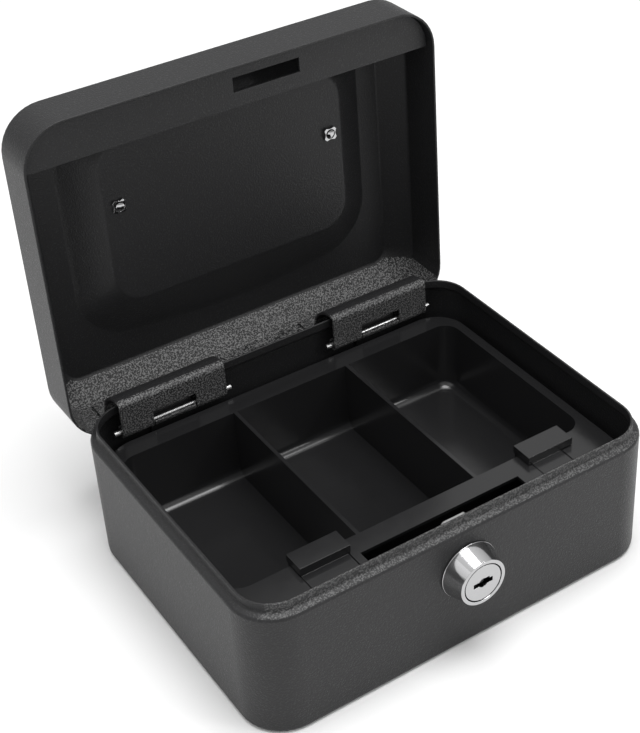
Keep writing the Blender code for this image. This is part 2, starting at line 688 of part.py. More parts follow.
def add_tray():
    side = HALF_WIDTH - NECK_INSET - SHEET - TRAY_SIDE_GAP
    front = -HALF_DEPTH + NECK_INSET + SHEET + TRAY_FRONT_GAP
    rear = PIN_Y - EYE_RADIUS - LEAF_SHEET / 2 - TRAY_HINGE_GAP
    under_flange = TRAY_TOP - TRAY_WALL
    low = (TRAY_X - side, front, under_flange)
    flange = rounded_box(low, (TRAY_X + side, rear, TRAY_TOP), TRAY_CORNER, steps=CORNER_STEPS)
    tray = add_object("tray", mesh_from("tray", flange), "plastic")
    smooth(tray)
    pocket_half = side - POCKET_SIDE_SHELF
    pocket_front = front + POCKET_FRONT_SHELF
    pocket_rear = rear - POCKET_REAR_SHELF
    floor = POCKET_FLOOR - TRAY_WALL
    low = (TRAY_X - pocket_half - TRAY_WALL, pocket_front - TRAY_WALL, floor)
    high = (TRAY_X + pocket_half + TRAY_WALL, pocket_rear + TRAY_WALL, TRAY_TOP - TRAY_WALL / 2)
    join(tray, "tub", rounded_box(low, high, POCKET_CORNER + TRAY_WALL, POCKET_FILLET))
    for i in (-1, 1):
        for y in (pocket_front + LEG_INSET, pocket_rear - LEG_INSET):
            x = TRAY_X + i * (pocket_half - LEG_INSET)
            half = LEG_SIZE / 2
            leg = box((x - half, y - half, SHEET + GAP), (x + half, y + half, POCKET_FLOOR - TRAY_WALL / 2))
            join(tray, "leg", leg)
    pitch = (2 * pocket_half + DIVIDER) / 3
    for i in (-1, 0, 1):
        middle = TRAY_X + i * pitch
        half = (pitch - DIVIDER) / 2
        low = (middle - half, pocket_front, POCKET_FLOOR)
        high = (middle + half, pocket_rear, TRAY_TOP + TRAY_WALL)
        cut(tray, "pocket", rounded_box(low, high, POCKET_CORNER, POCKET_FILLET))
    cut_middle = LOCK_X + LOCK_CUT_OFFSET
    cut_rear = -HALF_DEPTH + LOCK_CUT_REAR
    low = (cut_middle - LOCK_CUT_WIDTH / 2, front - GAP, under_flange - GAP)
    high = (cut_middle + LOCK_CUT_WIDTH / 2, cut_rear, TRAY_TOP + GAP)
    cut(tray, "lock_cut", box(low, high))
    for name, grip in GRIPS.items():
        middle = TRAY_X + grip["side"] * (pitch / 2 + DIVIDER / 2 + grip["off_divider"] + GRIP_WIDTH / 2)
        add_grip(tray, name, grip, middle, front, pocket_front)


def add_grip(tray, name, grip, middle, front, pocket_front):
    """A finger grip hooked over a pocket's front edge, its tongue let into the flange."""
    block_front = pocket_front + GRIP_OVERHANG - GRIP_DEPTH
    tongue_middle = middle + grip["tongue_shift"]
    tongue_half = grip["tongue_width"] / 2
    notch = box(
        (tongue_middle - tongue_half - GAP, front - GAP, TRAY_TOP - 2 * TRAY_WALL),
        (tongue_middle + tongue_half + GAP, block_front + TRAY_WALL + GAP, TRAY_TOP + GAP),
    )
    cut(tray, name + "_notch", notch)
    half = GRIP_WIDTH / 2
    low = (middle - half, block_front, TRAY_TOP + GAP)
    high = (middle + half, pocket_front + GRIP_OVERHANG, TRAY_TOP + GRIP_HEIGHT)
    made = add_object(name, mesh_from(name, box(low, high)), "plastic")
    inner = max(middle - half, tongue_middle - tongue_half)
    outer = min(middle + half, tongue_middle + tongue_half)
    stem = box(
        (inner, block_front, TRAY_TOP - TRAY_WALL),
        (outer, block_front + TRAY_WALL, TRAY_TOP + GRIP_HEIGHT / 2),
    )
    join(made, name + "_stem", stem)
    tongue = box(
        (tongue_middle - tongue_half, front, TRAY_TOP - TRAY_WALL),
        (tongue_middle + tongue_half, block_front + TRAY_WALL / 2, TRAY_TOP),
    )
    join(made, name + "_tongue", tongue)
    hook = box(
        (middle - half + GAP, pocket_front + GAP, TRAY_TOP - GRIP_HOOK),
        (middle + half - GAP, pocket_front + GRIP_OVERHANG - GAP, TRAY_TOP + GRIP_HEIGHT / 2),
    )
    join(made, name + "_hook", hook)


def add_pivot(name, place):
    """An empty on a joint's axis."""
    pivot = bpy.data.objects.new(name, None)
    parts.objects.link(pivot)
    pivot.location = place
    pivot.empty_display_size = 0.01
    return pivot


add_body()
add_lock()
add_tray()
lid_pivot = add_pivot("lid_pivot", (0, PIN_Y, PIN_Z))
add_lid(lid_pivot)
add_latch_strip(lid_pivot)
add_hinges(lid_pivot)
add_handle(lid_pivot)
lid_pivot.rotation_euler.x = -LID_OPEN
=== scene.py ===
import json
import math

import bmesh
import bpy
from mathutils import Matrix, Vector

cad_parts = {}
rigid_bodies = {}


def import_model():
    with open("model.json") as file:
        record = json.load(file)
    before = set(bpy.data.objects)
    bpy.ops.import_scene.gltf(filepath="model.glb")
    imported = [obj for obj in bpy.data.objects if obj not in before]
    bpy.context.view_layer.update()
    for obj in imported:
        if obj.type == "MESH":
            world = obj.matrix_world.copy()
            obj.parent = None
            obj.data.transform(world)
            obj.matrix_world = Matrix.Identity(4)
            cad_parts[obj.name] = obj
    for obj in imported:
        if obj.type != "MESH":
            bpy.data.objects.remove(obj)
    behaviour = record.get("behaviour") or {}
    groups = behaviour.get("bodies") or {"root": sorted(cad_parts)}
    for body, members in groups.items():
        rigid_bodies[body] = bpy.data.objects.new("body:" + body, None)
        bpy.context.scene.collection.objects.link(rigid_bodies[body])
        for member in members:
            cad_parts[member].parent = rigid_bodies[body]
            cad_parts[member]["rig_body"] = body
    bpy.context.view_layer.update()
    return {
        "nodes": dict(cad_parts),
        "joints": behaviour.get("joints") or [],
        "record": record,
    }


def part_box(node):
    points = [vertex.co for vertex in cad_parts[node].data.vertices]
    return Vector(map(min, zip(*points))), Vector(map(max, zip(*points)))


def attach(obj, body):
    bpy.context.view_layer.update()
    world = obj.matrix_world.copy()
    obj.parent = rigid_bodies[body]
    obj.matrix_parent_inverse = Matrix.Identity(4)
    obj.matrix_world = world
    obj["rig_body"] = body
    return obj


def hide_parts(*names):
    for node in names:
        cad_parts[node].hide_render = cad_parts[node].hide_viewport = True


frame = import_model()
for leftover in [o for o in bpy.data.objects if o.type in ("CAMERA", "LIGHT")]:
    bpy.data.objects.remove(leftover)
print("frame loaded")

# places taken from the frame
bodyLow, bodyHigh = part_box("body_shell")
joints = {joint["name"]: joint for joint in frame["joints"]}
pinPlace = Vector(joints["lid_hinge"]["pos_m"])
lidTurn = Matrix.Rotation(math.radians(joints["lid_hinge"]["range_deg"][0]), 4, "X")
openLid = Matrix.Translation(pinPlace) @ lidTurn @ Matrix.Translation(-pinPlace)
shutLid = openLid.inverted()


# finishes
def newGroup(name, inputs, outputs):
    group = bpy.data.node_groups.new(name, "ShaderNodeTree")
    for socket, value in inputs.items():
        made = group.interface.new_socket(socket, in_out="INPUT", socket_type="NodeSocketFloat")
        made.default_value = value
    for socket in outputs:
        group.interface.new_socket(socket, in_out="OUTPUT", socket_type="NodeSocketFloat")
    entry = group.nodes.new("NodeGroupInput")
    leave = group.nodes.new("NodeGroupOutput")
    return group, entry, leave


def addNode(tree, kind, values=None, **settings):
    node = tree.nodes.new(kind)
    for key, value in settings.items():
        setattr(node, key, value)
    for key, value in (values or {}).items():
        node.inputs[key].default_value = value
    return node


def maths(tree, operation, first, second, clamp=False):
    node = addNode(tree, "ShaderNodeMath", operation=operation, use_clamp=clamp)
    for slot, value in ((0, first), (1, second)):
        if isinstance(value, bpy.types.NodeSocket):
            tree.links.new(value, node.inputs[slot])
        else:
            node.inputs[slot].default_value = value
    return node.outputs[0]


# the skin of baked powder: fine pips, with a slower orange peel under them; the pips also mask the
# painted sparkle and painted glitter highlights in the colour
coatValues = {
    "pips": 1900.0, "peel": 260.0, "pipShare": 0.75,
    "glint": (0.22, 6.0), "paintedGlitterRamp": (0.47, 9.0),  # where each starts, how fast it grows
    "polish": 0.12, "specular": 0.32, "relief": 0.0003,
    "paintedGlitter": (  # painted glitter zones: how far along X, Y from and to, Z from and to, share, only inside the lid
        (0.1, 0.0600, 0.0850, 0.03, 0.0469, 1.0, True),
        (0.063, 0.0515, 0.0547, 0.038, 0.056, 0.6, False),
        (0.1, -0.0592, -0.0535, 0.0476, 0.0522, 0.35, False),
    ),
    # the rear wall of the open lid: where its corners start, the height they turn about,
    # where it slants in and how fast, and the radius that parts its two skins
    "lidCorner": 0.061, "lidHeight": 0.0518,
    "lidSlant": 0.0791, "slantRate": 1.22, "skinRadius": 0.0145,
}
grainInputs = {"Pips": coatValues["pips"], "Peel": coatValues["peel"]}
grainGroup, grainIn, grainOut = newGroup(
    "coat grain", grainInputs, ["Height", "Painted Sparkle", "Painted Glitter"]
)
grainPlace = addNode(grainGroup, "ShaderNodeTexCoord")
pipNoise = addNode(grainGroup, "ShaderNodeTexNoise", {"Detail": 2.0, "Roughness": 0.6})
pipCells = addNode(grainGroup, "ShaderNodeTexVoronoi", {"Randomness": 1.0}, feature="SMOOTH_F1")
peelNoise = addNode(grainGroup, "ShaderNodeTexNoise", {"Detail": 3.0, "Roughness": 0.5})
for node, socket in ((pipNoise, "Pips"), (pipCells, "Pips"), (peelNoise, "Peel")):
    grainGroup.links.new(grainPlace.outputs["Object"], node.inputs["Vector"])
    grainGroup.links.new(grainIn.outputs[socket], node.inputs["Scale"])
pips = maths(grainGroup, "SUBTRACT", pipNoise.outputs["Fac"], pipCells.outputs["Distance"])
pipPart = maths(grainGroup, "MULTIPLY", pips, coatValues["pipShare"])
peelPart = maths(grainGroup, "MULTIPLY", peelNoise.outputs["Fac"], 1 - coatValues["pipShare"])
grainGroup.links.new(maths(grainGroup, "ADD", pipPart, peelPart), grainOut.inputs["Height"])
for source, key, socket in (
    (pips, "glint", "Painted Sparkle"), (pipNoise.outputs["Fac"], "paintedGlitterRamp", "Painted Glitter")
):
    start, rate = coatValues[key]
    raised = maths(grainGroup, "SUBTRACT", source, start)
    grainGroup.links.new(maths(grainGroup, "MULTIPLY", raised, rate, True), grainOut.inputs[socket])


def newMaterial(name):
    material = bpy.data.materials.new(name)
    material.use_nodes = True
    tree = material.node_tree
    return material, tree, tree.nodes["Principled BSDF"]


def setShader(shader, **values):
    for key, value in values.items():
        shader.inputs[key.replace("_", " ")].default_value = value


def mixColours(tree, factor, first, second):
    mix = addNode(tree, "ShaderNodeMix", data_type="RGBA")
    tree.links.new(factor, mix.inputs["Factor"])
    mix.inputs[6].default_value = (*first, 1)
    mix.inputs[7].default_value = (*second, 1)
    return mix.outputs[2]


# 1 on the inner skin of the lid's rear wall and 0 on its outer skin
def insideRear(tree, split, across):
    beyond = maths(tree, "SUBTRACT", across, coatValues["lidCorner"])
    along = maths(tree, "MAXIMUM", beyond, 0.0)
    down = maths(tree, "SUBTRACT", coatValues["lidHeight"], split.outputs["Z"])
    alongSquare = maths(tree, "MULTIPLY", along, along)
    downSquare = maths(tree, "MULTIPLY", down, down)
    square = maths(tree, "ADD", alongSquare, downSquare)
    behind = maths(tree, "SUBTRACT", split.outputs["Y"], coatValues["lidSlant"])
    slant = maths(tree, "MULTIPLY", maths(tree, "MAXIMUM", behind, 0.0), coatValues["slantRate"])
    radius = maths(tree, "ADD", maths(tree, "SQRT", square, 0.0), slant)
    return maths(tree, "LESS_THAN", radius, coatValues["skinRadius"])


# painted glitter highlights where light grazes the coat: behind the hinge, on the leaves and on the
# front shoulder
def paintedGlitterMask(tree):
    place = addNode(tree, "ShaderNodeTexCoord")
    split = addNode(tree, "ShaderNodeSeparateXYZ")
    tree.links.new(place.outputs["Object"], split.inputs[0])
    across = maths(tree, "ABSOLUTE", split.outputs["X"], 0.0)
    inner = insideRear(tree, split, across)
    y, z = split.outputs["Y"], split.outputs["Z"]
    most = 0.0
    for reach, nearest, farthest, lowest, highest, share, onlyInside in coatValues["paintedGlitter"]:
        mask = maths(tree, "MULTIPLY", maths(tree, "GREATER_THAN", y, nearest), share)
        for operation, socket, value in (
            ("LESS_THAN", across, reach), ("LESS_THAN", y, farthest),
            ("GREATER_THAN", z, lowest), ("LESS_THAN", z, highest),
        ):
            mask = maths(tree, "MULTIPLY", mask, maths(tree, operation, socket, value))
        if onlyInside:
            mask = maths(tree, "MULTIPLY", mask, inner)
        most = maths(tree, "MAXIMUM", mask, most)
    return most


def powderCoat(name, dark, light, glint, rough, bump):
    material, tree, shader = newMaterial(name)
    grain = addNode(tree, "ShaderNodeGroup", node_tree=grainGroup)
    # pip tops are lightened everywhere as a painted sparkle of small highlights
    plain = mixColours(tree, grain.outputs["Painted Sparkle"], dark, light)
    # inside these zones the pip noise lifts the colour to the glint colour: a painted glitter
    # highlight
    paintedGlitter = mixColours(tree, grain.outputs["Painted Glitter"], dark, glint)
    both = addNode(tree, "ShaderNodeMix", data_type="RGBA")
    tree.links.new(paintedGlitterMask(tree), both.inputs["Factor"])
    tree.links.new(plain, both.inputs[6])
    tree.links.new(paintedGlitter, both.inputs[7])
    tree.links.new(both.outputs[2], shader.inputs["Base Color"])
    polish = maths(tree, "MULTIPLY", grain.outputs["Painted Sparkle"], coatValues["polish"])
    tree.links.new(maths(tree, "SUBTRACT", rough, polish), shader.inputs["Roughness"])
    setShader(shader, Specular_IOR_Level=coatValues["specular"])
    relief = addNode(tree, "ShaderNodeBump", {"Strength": bump, "Distance": coatValues["relief"]})
    tree.links.new(grain.outputs["Height"], relief.inputs["Height"])
    tree.links.new(relief.outputs["Normal"], shader.inputs["Normal"])
    return material


plasticValues = {"wave": 45.0, "haze": 210.0, "hazeShare": 0.12, "bump": 0.25, "relief": 0.0004}


def glossPlastic(name, colour, rough, values):
    material, tree, shader = newMaterial(name)
    place = addNode(tree, "ShaderNodeTexCoord")
    wave = addNode(tree, "ShaderNodeTexNoise", {"Scale": values["wave"], "Detail": 2.0})
    haze = addNode(
        tree, "ShaderNodeTexNoise", {"Scale": values["haze"], "Detail": 5.0, "Roughness": 0.65}
    )
    for node in (wave, haze):
        tree.links.new(place.outputs["Object"], node.inputs["Vector"])
    shader.inputs["Base Color"].default_value = (*colour, 1)
    spread = maths(tree, "MULTIPLY", haze.outputs["Fac"], values["hazeShare"])
    tree.links.new(maths(tree, "ADD", spread, rough), shader.inputs["Roughness"])
    relief = addNode(
        tree, "ShaderNodeBump", {"Strength": values["bump"], "Distance": values["relief"]}
    )
    tree.links.new(wave.outputs["Fac"], relief.inputs["Height"])
    tree.links.new(relief.outputs["Normal"], shader.inputs["Normal"])
    return material


metalRelief = 0.0001


def brightMetal(name, colour, rough, grainScale, bump):
    material, tree, shader = newMaterial(name)
    place = addNode(tree, "ShaderNodeTexCoord")
    haze = addNode(
        tree, "ShaderNodeTexNoise", {"Scale": grainScale, "Detail": 4.0, "Roughness": 0.6}
    )
    tree.links.new(place.outputs["Object"], haze.inputs["Vector"])
    shader.inputs["Base Color"].default_value = (*colour, 1)
    shader.inputs["Metallic"].default_value = 1.0
    spread = maths(tree, "MULTIPLY", haze.outputs["Fac"], rough)
    tree.links.new(maths(tree, "ADD", spread, rough * 0.5), shader.inputs["Roughness"])
    relief = addNode(tree, "ShaderNodeBump", {"Strength": bump, "Distance": metalRelief})
    tree.links.new(haze.outputs["Fac"], relief.inputs["Height"])
    tree.links.new(relief.outputs["Normal"], shader.inputs["Normal"])
    return material


finishes = {
    # the coat's light and glint colours are painted sparkle and painted glitter highlights
    "coat": powderCoat(
        "black powder coat", dark=(0.0145, 0.0145, 0.0152), light=(0.028, 0.028, 0.029),
        glint=(0.19, 0.19, 0.19), rough=0.44, bump=0.4,
    ),
    "plastic": glossPlastic("black gloss plastic", (0.011, 0.011, 0.0115), 0.14, plasticValues),
    "chrome": brightMetal("polished chrome", (0.47, 0.47, 0.475), 0.1, 900.0, 0.05),
    "steel": brightMetal("bright zinc", (0.45, 0.45, 0.45), 0.3, 1400.0, 0.2),
}
nodeSlots = {part["node"]: part["material_slot"] for part in frame["record"]["subparts"]}
for nodeName, node in frame["nodes"].items():
    node.data.materials.clear()
    node.data.materials.append(finishes[nodeSlots[nodeName]])
print("finishes made")


# stage, light and camera
studio = {
    "floor": 0.76,
    "worldLow": 0.3,
    "worldHigh": 1.15,
    "lamps": {  # place, target, size, power
        "upper left": ((-0.9, -0.15, 0.75), (0, 0, 0.08), (0.7, 0.7), 0.6),
        "overhead": ((0.05, -0.1, 1.2), (0, 0, 0.05), (0.7, 0.7), 12.0),
        "front right": ((0.5, -0.72, 0.6), (0, 0, 0.03), (0.16, 0.16), 1.2),
    },
}


def addFloor(grey, size=6.0):
    shape = bmesh.new()
    bmesh.ops.create_grid(shape, x_segments=1, y_segments=1, size=size)
    mesh = bpy.data.meshes.new("floor")
    shape.to_mesh(mesh)
    shape.free()
    floor = bpy.data.objects.new("floor", mesh)
    bpy.context.scene.collection.objects.link(floor)
    material, tree, shader = newMaterial("pale floor")
    setShader(shader, Base_Color=(grey, grey, grey, 1), Roughness=0.9)
    mesh.materials.append(material)


def addSoftbox(name, place, target, size, power):
    light = bpy.data.lights.new(name, "AREA")
    light.shape = "RECTANGLE"
    light.size, light.size_y = size
    light.energy = power
    lamp = bpy.data.objects.new(name, light)
    bpy.context.scene.collection.objects.link(lamp)
    lamp.location = place
    lamp.rotation_mode = "QUATERNION"
    lamp.rotation_quaternion = (Vector(target) - Vector(place)).to_track_quat("-Z", "Y")


# dim at the horizon and bright overhead, like a room lit from its ceiling
def addWorld(values):
    world = bpy.data.worlds.new("studio")
    bpy.context.scene.world = world
    world.use_nodes = True
    tree = world.node_tree
    background = tree.nodes["Background"]
    background.inputs["Color"].default_value = (1, 1, 1, 1)
    direction = addNode(tree, "ShaderNodeTexCoord")
    split = addNode(tree, "ShaderNodeSeparateXYZ")
    tree.links.new(direction.outputs["Generated"], split.inputs[0])
    ramp = addNode(tree, "ShaderNodeMapRange", {"From Min": 0.0, "From Max": 1.0})
    ramp.inputs["To Min"].default_value = values["worldLow"]
    ramp.inputs["To Max"].default_value = values["worldHigh"]
    tree.links.new(split.outputs["Z"], ramp.inputs["Value"])
    tree.links.new(ramp.outputs["Result"], background.inputs["Strength"])


addWorld(studio)
for lampName, (place, target, size, power) in studio["lamps"].items():
    addSoftbox(lampName, place, target, size, power)
addFloor(studio["floor"])

cameraSet = {
    "place": (-0.21621, -0.34981, 0.37454),
    "heading": 33.15,
    "pitch": 35.03,
    "roll": -2.19,
    "lens": 78.43,
    "shift": (-0.0966, -0.0454),
}


def addCamera(values):
    heading, pitch, roll = (math.radians(values[key]) for key in ("heading", "pitch", "roll"))
    flat = math.cos(pitch)
    ahead = Vector((math.sin(heading) * flat, math.cos(heading) * flat, -math.sin(pitch)))
    level = Vector((math.cos(heading), -math.sin(heading), 0))
    above = level.cross(ahead)
    right = level * math.cos(roll) + above * math.sin(roll)
    up = above * math.cos(roll) - level * math.sin(roll)
    data = bpy.data.cameras.new("camera")
    data.lens = values["lens"]
    data.sensor_width = 36
    data.shift_x, data.shift_y = values["shift"]
    camera = bpy.data.objects.new("camera", data)
    bpy.context.scene.collection.objects.link(camera)
    turn = Matrix((right, up, -ahead)).transposed().to_4x4()
    camera.matrix_world = Matrix.Translation(values["place"]) @ turn
    bpy.context.scene.camera = camera


addCamera(cameraSet)
bpy.context.scene.view_settings.view_transform = "Standard"
print("stage, light and camera set")


# ways of making pieces
mergeGap = 1e-6
bridgeLift = 0.001
holeReach = 0.003


def roundOff(shape, parts, offset, steps, affect="EDGES", **settings):
    bmesh.ops.bevel(
        shape, geom=parts, offset=offset, segments=steps, profile=0.5, affect=affect,
        material=-1, **settings,
    )


def outlineRing(shape, width, depth, corner, height, middle=(0.0, 0.0), steps=10, cuts=9):
    before = set(shape.faces)

    def newFace():
        return next(f for f in shape.faces if f not in before)

    bmesh.ops.create_grid(shape, x_segments=1, y_segments=1, size=0.5)
    bmesh.ops.scale(shape, vec=(width, depth, 1), verts=newFace().verts)
    bmesh.ops.translate(shape, vec=(*middle, height), verts=newFace().verts)
    roundOff(shape, list(newFace().verts), corner, steps, "VERTICES")
    longEdges = sorted(newFace().edges, key=lambda e: e.calc_length())[-4:]
    bmesh.ops.subdivide_edges(shape, edges=longEdges, cuts=cuts)
    face = newFace()
    ring = list(face.edges)
    bmesh.ops.delete(shape, geom=[face], context="FACES_ONLY")
    return ring


def ringPoints(ring):
    return list({point for edge in ring for point in edge.verts})


def ringSpan(points):
    low = Vector([min(p.co[i] for p in points) for i in range(3)])
    high = Vector([max(p.co[i] for p in points) for i in range(3)])
    return (low + high) / 2, high - low


# each ring is laid over its neighbour while they are joined, so that no join twists
def bridgeAll(shape, rings):
    for lower, upper in zip(rings, rings[1:]):
        points = ringPoints(upper)
        places = {point: point.co.copy() for point in points}
        middle, span = ringSpan(points)
        lowMiddle, lowSpan = ringSpan(ringPoints(lower))
        for point in points:
            share = point.co - middle
            point.co.x = lowMiddle.x + share.x * lowSpan.x / span.x
            point.co.y = lowMiddle.y + share.y * lowSpan.y / span.y
            point.co.z = lowMiddle.z + bridgeLift
        bmesh.ops.bridge_loops(shape, edges=lower + upper)
        for point, place in places.items():
            point.co = place


def roundRing(shape, ring, radius, steps):
    alive = [edge for edge in ring if edge.is_valid]
    roundOff(shape, alive, radius, steps, clamp_overlap=True)


def faceOut(shape, isRight):
    bmesh.ops.recalc_face_normals(shape, faces=shape.faces)
    shape.normal_update()
    if not isRight():
        bmesh.ops.reverse_faces(shape, faces=shape.faces)


def finishPiece(name, shape, body, finish, nodes):
    mesh = bpy.data.meshes.new(name)
    shape.to_mesh(mesh)
    shape.free()
    mesh.materials.append(finishes[finish])
    piece = bpy.data.objects.new(name, mesh)
    bpy.context.scene.collection.objects.link(piece)
    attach(piece, body)
    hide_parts(*nodes)
    return piece


def addModifier(piece, kind, **settings):
    made = piece.modifiers.new(kind.lower(), kind)
    for key, value in settings.items():
        setattr(made, key, value)


def applyAll(piece):
    bpy.context.view_layer.update()
    graph = bpy.context.evaluated_depsgraph_get()
    mesh = bpy.data.meshes.new_from_object(piece.evaluated_get(graph))
    piece.modifiers.clear()
    piece.data = mesh


def cutWith(piece, tools, operation="DIFFERENCE"):
    helpers = []
    for tool in tools:
        mesh = bpy.data.meshes.new("tool")
        tool.to_mesh(mesh)
        tool.free()
        helper = bpy.data.objects.new("tool", mesh)
        bpy.context.scene.collection.objects.link(helper)
        helpers.append(helper)
        addModifier(piece, "BOOLEAN", object=helper, operation=operation, solver="EXACT")
    applyAll(piece)
    for helper in helpers:
        bpy.data.objects.remove(helper)


def softenEdges(piece, width, steps=2, angle=40, flat=True):
    merged = bmesh.new()
    merged.from_mesh(piece.data)
    bmesh.ops.remove_doubles(merged, verts=merged.verts, dist=mergeGap)
    if flat:
        bmesh.ops.dissolve_limit(
            merged, angle_limit=math.radians(1), verts=merged.verts, edges=merged.edges
        )
    for face in merged.faces:
        face.smooth = True
    merged.to_mesh(piece.data)
    merged.free()
    addModifier(
        piece, "BEVEL", width=width, segments=steps, limit_method="ANGLE",
        angle_limit=math.radians(angle), harden_normals=True, miter_outer="MITER_ARC",
    )
    addModifier(piece, "WEIGHTED_NORMAL", keep_sharp=True)


def softCopy(nodeName, width, steps=2, angle=40, flat=True):
    shape = bmesh.new()
    shape.from_mesh(frame["nodes"][nodeName].data)
    bmesh.ops.remove_doubles(shape, verts=shape.verts, dist=mergeGap)
    slot = nodeSlots[nodeName]
    body = frame["nodes"][nodeName]["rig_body"]
    piece = finishPiece(nodeName + "_finished", shape, body, slot, [nodeName])
    softenEdges(piece, width, steps, angle, flat)


def blockShape(low, high, corner=0.0, foot=0.0, taper=None, steps=8):
    shape = bmesh.new()
    low, high = Vector(low), Vector(high)
    bmesh.ops.create_cube(shape, size=1)
    bmesh.ops.scale(shape, vec=high - low, verts=shape.verts)
    if corner:
        upright = [e for e in shape.edges if abs(e.verts[0].co.z - e.verts[1].co.z) > mergeGap]
        roundOff(shape, upright, corner, steps)
    lowest = min(v.co.z for v in shape.verts) + mergeGap
    if taper:
        lowPoints = [v for v in shape.verts if v.co.z < lowest]
        bmesh.ops.scale(shape, vec=(*taper, 1), verts=lowPoints)
    if foot:
        under = [e for e in shape.edges if all(v.co.z < lowest for v in e.verts)]
        roundOff(shape, under, foot, steps)
    bmesh.ops.translate(shape, vec=(low + high) / 2, verts=shape.verts)
    return shape


def rodShape(radius, low, high, place, steps=48):
    shape = bmesh.new()
    bmesh.ops.create_cone(
        shape, cap_ends=True, segments=steps, radius1=radius, radius2=radius, depth=high - low,
        matrix=place @ Matrix.Translation((0, 0, (low + high) / 2)),
    )
    return shape


def turnedShape(profile, place, closed=False, steps=96):
    shape = bmesh.new()
    points = [shape.verts.new((radius, 0, height)) for radius, height in profile]
    edges = [shape.edges.new(pair) for pair in zip(points, points[1:])]
    if closed:
        edges.append(shape.edges.new((points[-1], points[0])))
    bmesh.ops.spin(
        shape, geom=points + edges, axis=(0, 0, 1), cent=(0, 0, 0), angle=2 * math.pi, steps=steps,
        use_merge=True, use_duplicate=False,
    )
    bmesh.ops.remove_doubles(shape, verts=shape.verts, dist=mergeGap)
    bmesh.ops.recalc_face_normals(shape, faces=shape.faces)
    shape.transform(place)
    return shape


# body
boxBody = {
    "sheet": 0.0008, "corner": 0.015, "foot": 0.002, "shoulderStart": 0.0475,
    "shoulderEnd": 0.0486, "neckInset": 0.0024, "edgeRound": 0.00028, "lockHole": 0.0087,
    "shoulderRound": 0.0009, "neckRound": 0.0005,
}
upToFront = Matrix.Rotation(math.radians(90), 4, "X")
lockPlace = Matrix.Translation(joints["key_turn"]["pos_m"]) @ upToFront


def makeBody(values):
    shape = bmesh.new()
    width, depth = bodyHigh.x - bodyLow.x, bodyHigh.y - bodyLow.y
    inset, corner = values["neckInset"], values["corner"]
    neckSize = (width - 2 * inset, depth - 2 * inset, corner - inset)
    foot = outlineRing(shape, width, depth, corner, 0)
    low = outlineRing(shape, width, depth, corner, values["shoulderStart"])
    neck = outlineRing(shape, *neckSize, values["shoulderEnd"])
    rim = outlineRing(shape, *neckSize, bodyHigh.z)
    bottom = bmesh.ops.contextual_create(shape, geom=foot)["faces"][0]
    bridgeAll(shape, [foot, low, neck, rim])
    faceOut(shape, lambda: bottom.normal.z < 0)
    roundRing(shape, foot, values["foot"], 5)
    roundRing(shape, low, values["shoulderRound"], 4)
    roundRing(shape, neck, values["neckRound"], 3)
    body = finishPiece("body_shell_finished", shape, "base", "coat", ["body_shell"])
    addModifier(body, "SOLIDIFY", thickness=values["sheet"], offset=-1, use_even_offset=True)
    applyAll(body)
    cutWith(body, [rodShape(values["lockHole"], -holeReach, holeReach, lockPlace)])
    softenEdges(body, values["edgeRound"], steps=3, angle=55, flat=False)


makeBody(boxBody)
print("body made")


# the lid is drawn shut and then turned open
lid = {
    "rim": 0.0492, "skirtTop": 0.067, "top": 0.0742, "bandInset": 0.009, "floor": 0.0662,
    "floorSize": (0.0905, 0.0595, 0.010), "floorMiddle": -0.00825,
    "mouthSize": (0.117, 0.084, 0.017), "mouthMiddle": -0.006, "scoop": 0.006,
    "slope": (  # share of the way out and of the way up, from the recess mouth to its floor
        (1, 1), (0.94, 0.975), (0.82, 0.87), (0.6, 0.62),
        (0.38, 0.37), (0.14, 0.115), (0.06, 0.03), (0, 0),
    ),
    "skirtRound": 0.0012, "topRound": 0.0007, "postHole": 0.0018, "edgeRound": 0.00025,
    "hingeRound": 0.00015,
}


def between(low, high, share):
    return low + (high - low) * share


def recessRing(shape, values, share, rise):
    size = [between(*pair, share) for pair in zip(values["floorSize"], values["mouthSize"])]
    middle = between(values["floorMiddle"], values["mouthMiddle"], share)
    height = between(values["floor"], values["top"], rise)
    ring = outlineRing(shape, *size, height, (0, middle))
    rear = middle + size[1] / 2
    for point in ringPoints(ring):  # the rear of the recess bows out for the fingers
        near = max(0.0, 1 - (rear - point.co.y) / size[2])
        across = math.cos(math.pi * min(0.5, abs(point.co.x) / size[0]))
        point.co.y += values["scoop"] * share * near * across
    return ring


def makeLid(values):
    shape = bmesh.new()
    width, depth = bodyHigh.x - bodyLow.x, bodyHigh.y - bodyLow.y
    inset, corner = values["bandInset"], boxBody["corner"]
    flatSize = (width - 2 * inset, depth - 2 * inset, corner - inset)
    edge = outlineRing(shape, width, depth, corner, values["rim"])
    skirt = outlineRing(shape, width, depth, corner, values["skirtTop"])
    flat = outlineRing(shape, *flatSize, values["top"])
    slope = [recessRing(shape, values, share, rise) for share, rise in values["slope"]]
    panel = bmesh.ops.contextual_create(shape, geom=slope[-1])["faces"][0]
    bridgeAll(shape, [edge, skirt, flat] + slope)
    faceOut(shape, lambda: panel.normal.z > 0)
    roundRing(shape, skirt, values["skirtRound"], 4)
    roundRing(shape, flat, values["topRound"], 3)
    made = finishPiece("lid_shell_finished", shape, "lid", "coat", ["lid_shell"])
    addModifier(made, "SOLIDIFY", thickness=boxBody["sheet"], offset=-1, use_even_offset=True)
    applyAll(made)
    postY = (shutLid @ Vector(joints["handle_swing"]["pos_m"])).y
    holes = []
    for side in ("left", "right"):
        postX = sum(end.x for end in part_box("handle_post_" + side)) / 2
        place = Matrix.Translation((postX, postY, values["floor"]))
        holes.append(rodShape(values["postHole"], -holeReach, holeReach, place))
    cutWith(made, holes)
    made.data.transform(openLid)
    softenEdges(made, values["edgeRound"], steps=3, angle=55, flat=False)


makeLid(lid)
for nodeName in (
    "lid_latch_strip", "hinge_leaf_left", "hinge_leaf_right",
    "hinge_bracket_left", "hinge_bracket_right",
):
    softCopy(nodeName, lid["hingeRound"])
print("lid and hinges made")


